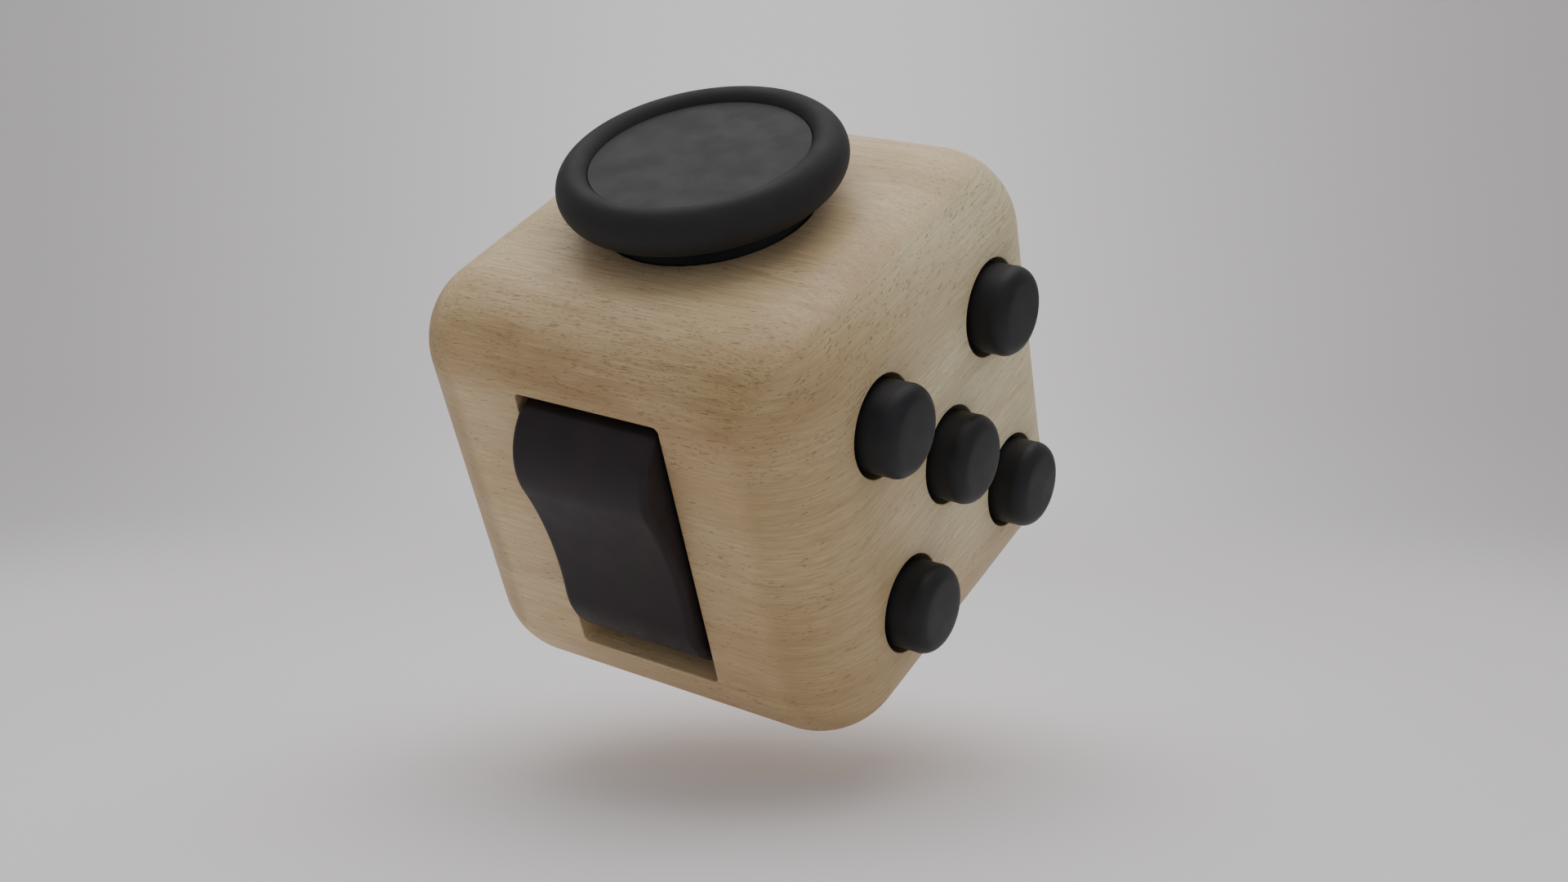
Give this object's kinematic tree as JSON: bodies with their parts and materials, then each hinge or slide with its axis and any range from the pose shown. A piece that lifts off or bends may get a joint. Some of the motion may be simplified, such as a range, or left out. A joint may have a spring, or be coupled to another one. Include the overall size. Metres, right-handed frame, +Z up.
{
  "type": "fidget cube",
  "caption": "Hollow wooden cube with a thumb joystick, a rocker switch, push buttons, ribbed wheels with a click ball, a spin dial and a worry dimple on its faces.",
  "frame": {"origin": "centre of the flat bottom face, at the height the cube rests on", "axes": "+Z up along the joystick, -Y out of the rocker switch's face, +X out of the five buttons' face, +Y out of the wheels' face, -X out of the dial's face"},
  "size_m": [0.0391, 0.0374, 0.0378],
  "materials": {
    "beech_wood": "pale close-grained wood, sanded smooth, with a thin satin oil finish",
    "dowel_wood": "plain turned hardwood dowel",
    "soft_black": "black soft-touch rubber, matt",
    "soft_grey": "dark grey soft-touch thumb pad, matt",
    "black_plastic": "black moulded plastic, fine matt texture",
    "inner_plastic": "dark grey glass-filled nylon, as moulded",
    "cup_plastic": "natural acetal, smooth",
    "silicone": "translucent white silicone rubber",
    "steel": "plain steel, lightly drawn",
    "wheel_metal": "machined aluminium, bead blasted",
    "ball_chrome": "polished steel ball",
    "brass": "turned brass"
  },
  "bodies": {
    "case": {"shell_main": "beech_wood", "shell_rear": "beech_wood", "shell_dowels": "dowel_wood", "joystick_base": "inner_plastic", "joystick_base_screws": "steel", "joystick_spring": "steel", "button_dome_1": "silicone", "button_dome_2": "silicone", "button_dome_3": "silicone", "button_dome_4": "silicone", "button_dome_5": "silicone", "button_plate": "inner_plastic", "button_plate_screws": "steel", "switch_bracket": "inner_plastic", "switch_leaf_spring": "steel", "switch_bracket_screws": "steel", "wheel_axle": "steel", "wheel_bracket": "inner_plastic", "wheel_bracket_screws": "steel", "ball_spring": "steel", "ball_housing": "inner_plastic", "ball_housing_screws": "steel", "dial_bush": "brass"},
    "gimbal": {"gimbal_ring": "steel", "gimbal_pin": "steel"},
    "joystick": {"joystick_rim": "soft_black", "joystick_pad": "soft_grey", "joystick_dome": "black_plastic", "joystick_cap_screw": "steel"},
    "rocker": {"switch_rocker": "black_plastic", "switch_axle": "steel"},
    "button_1_body": {"button_1": "soft_black"},
    "button_2_body": {"button_2": "soft_black"},
    "button_3_body": {"button_3": "soft_black"},
    "button_4_body": {"button_4": "soft_black"},
    "button_5_body": {"button_5": "soft_black"},
    "wheel_1_body": {"wheel_1": "wheel_metal"},
    "wheel_2_body": {"wheel_2": "wheel_metal"},
    "wheel_3_body": {"wheel_3": "wheel_metal"},
    "ball_carrier": {"ball_cup": "cup_plastic"},
    "ball": {"click_ball": "ball_chrome"},
    "dial": {"spin_dial": "soft_black", "dial_shaft": "steel", "dial_washer": "steel", "dial_screw": "steel"}
  },
  "joints": [
    {"name": "joystick_tilt_x", "type": "hinge", "parent": "case", "child": "gimbal", "pos_m": [0, 0, 0.03], "axis": [1, 0, 0], "range_deg": [-5.8, 5.8], "stiffness_Nm_per_rad": 0.02, "deforming": ["joystick_spring"]},
    {"name": "joystick_tilt_y", "type": "hinge", "parent": "gimbal", "child": "joystick", "pos_m": [0, 0, 0.03], "axis": [0, 1, 0], "range_deg": [-5.8, 5.8], "stiffness_Nm_per_rad": 0.02, "deforming": ["joystick_spring"]},
    {"name": "switch_rock", "type": "hinge", "parent": "case", "child": "rocker", "pos_m": [0, -0.014, 0.0165], "axis": [-1, 0, 0], "range_deg": [0, 13], "deforming": ["switch_leaf_spring"]},
    {"name": "button_1_press", "type": "slide", "parent": "case", "child": "button_1_body", "axis": [-1, 0, 0], "range_m": [0, 0.001], "stiffness_N_per_m": 400, "springref_m": -0.0008, "deforming": ["button_dome_1"]},
    {"name": "button_2_press", "type": "slide", "parent": "case", "child": "button_2_body", "axis": [-1, 0, 0], "range_m": [0, 0.001], "stiffness_N_per_m": 400, "springref_m": -0.0008, "deforming": ["button_dome_2"]},
    {"name": "button_3_press", "type": "slide", "parent": "case", "child": "button_3_body", "axis": [-1, 0, 0], "range_m": [0, 0.001], "stiffness_N_per_m": 400, "springref_m": -0.0008, "deforming": ["button_dome_3"]},
    {"name": "button_4_press", "type": "slide", "parent": "case", "child": "button_4_body", "axis": [-1, 0, 0], "range_m": [0, 0.001], "stiffness_N_per_m": 400, "springref_m": -0.0008, "deforming": ["button_dome_4"]},
    {"name": "button_5_press", "type": "slide", "parent": "case", "child": "button_5_body", "axis": [-1, 0, 0], "range_m": [0, 0.001], "stiffness_N_per_m": 400, "springref_m": -0.0008, "deforming": ["button_dome_5"]},
    {"name": "wheel_1_spin", "type": "hinge", "parent": "case", "child": "wheel_1_body", "pos_m": [-0.0044, 0.01305, 0.021], "axis": [1, 0, 0], "continuous": true},
    {"name": "wheel_2_spin", "type": "hinge", "parent": "case", "child": "wheel_2_body", "pos_m": [0, 0.01305, 0.021], "axis": [1, 0, 0], "continuous": true},
    {"name": "wheel_3_spin", "type": "hinge", "parent": "case", "child": "wheel_3_body", "pos_m": [0.0044, 0.01305, 0.021], "axis": [1, 0, 0], "continuous": true},
    {"name": "ball_press", "type": "slide", "parent": "case", "child": "ball_carrier", "axis": [0, -1, 0], "range_m": [0, 0.0009], "stiffness_N_per_m": 500, "springref_m": -0.0006, "deforming": ["ball_spring"]},
    {"name": "ball_roll", "type": "hinge", "parent": "ball_carrier", "child": "ball", "pos_m": [0, 0.01475, 0.0093], "axis": [1, 0, 0], "continuous": true},
    {"name": "dial_spin", "type": "hinge", "parent": "case", "child": "dial", "pos_m": [-0.0165, 0, 0.0165], "axis": [-1, 0, 0], "continuous": true}
  ]
}
